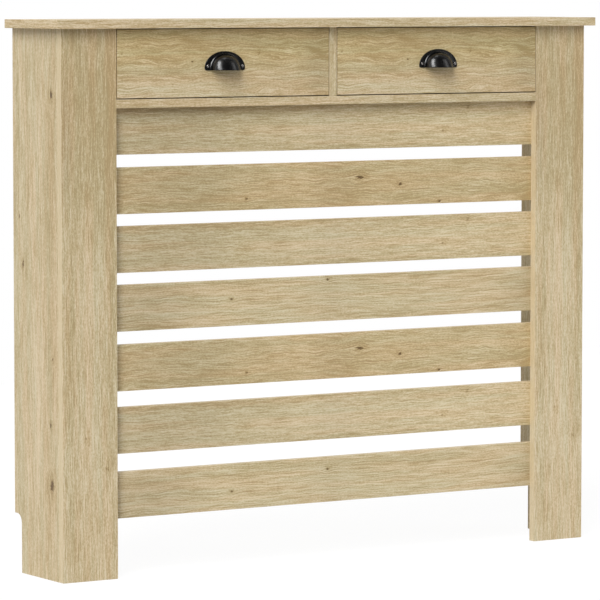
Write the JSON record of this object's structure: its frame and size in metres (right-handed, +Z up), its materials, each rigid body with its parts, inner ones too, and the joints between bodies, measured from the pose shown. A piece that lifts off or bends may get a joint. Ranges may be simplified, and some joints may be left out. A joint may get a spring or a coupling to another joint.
{
  "type": "radiator cover cabinet",
  "caption": "Oak laminate radiator cover with a slatted front, open back, skirting cut-outs, a flat top and a row of shallow drawers with black cup pulls.",
  "frame": {"origin": "centre of the bounding box's footprint, on the floor", "axes": "+X along the front to the right as seen from the front, +Y towards the wall, +Z up"},
  "size_m": [1.12, 0.198, 0.96],
  "materials": {
    "oak": "satin oak-grain laminate on board",
    "pale_oak": "satin oak-grain edge band, paler than the faces",
    "drawer_board": "plain pale board, matt",
    "hardboard": "smooth brown hardboard, matt",
    "black_enamel": "glossy black enamel on a pressed metal shell",
    "steel": "nickel plated",
    "zinc": "bright zinc plated",
    "block_plastic": "moulded tan plastic"
  },
  "bodies": {
    "cabinet": {"top_board": "oak", "left_side_panel": "oak", "right_side_panel": "oak", "left_stile": "oak", "right_stile": "oak", "drawer_shelf": "pale_oak", "centre_divider": "pale_oak", "drawer_back_panel": "oak", "left_drawer_guide": "drawer_board", "right_drawer_guide": "drawer_board", "slat_1": "oak", "slat_2": "oak", "slat_3": "oak", "slat_4": "oak", "slat_5": "oak", "slat_6": "oak", "slat_7": "oak", "slat_1_left_screw": "zinc", "slat_1_right_screw": "zinc", "slat_2_left_screw": "zinc", "slat_2_right_screw": "zinc", "slat_3_left_screw": "zinc", "slat_3_right_screw": "zinc", "slat_4_left_screw": "zinc", "slat_4_right_screw": "zinc", "slat_5_left_screw": "zinc", "slat_5_right_screw": "zinc", "slat_6_left_screw": "zinc", "slat_6_right_screw": "zinc", "slat_7_left_screw": "zinc", "slat_7_right_screw": "zinc", "left_top_front_block": "block_plastic", "left_top_rear_block": "block_plastic", "left_shelf_block": "block_plastic", "right_top_front_block": "block_plastic", "right_top_rear_block": "block_plastic", "right_shelf_block": "block_plastic", "left_wall_bracket": "steel", "right_wall_bracket": "steel", "left_wall_bracket_screw": "zinc", "right_wall_bracket_screw": "zinc"},
    "left_drawer": {"left_drawer_front": "oak", "left_drawer_left_side": "drawer_board", "left_drawer_right_side": "drawer_board", "left_drawer_back": "drawer_board", "left_drawer_bottom": "hardboard", "left_cup_pull": "black_enamel", "left_pull_left_screw": "steel", "left_pull_right_screw": "steel"},
    "right_drawer": {"right_drawer_front": "oak", "right_drawer_left_side": "drawer_board", "right_drawer_right_side": "drawer_board", "right_drawer_back": "drawer_board", "right_drawer_bottom": "hardboard", "right_cup_pull": "black_enamel", "right_pull_left_screw": "steel", "right_pull_right_screw": "steel"}
  },
  "joints": [
    {"name": "left_drawer_slide", "type": "slide", "parent": "cabinet", "child": "left_drawer", "axis": [0, -1, 0], "range_m": [0, 0.1]},
    {"name": "right_drawer_slide", "type": "slide", "parent": "cabinet", "child": "right_drawer", "axis": [0, -1, 0], "range_m": [0, 0.1]}
  ]
}
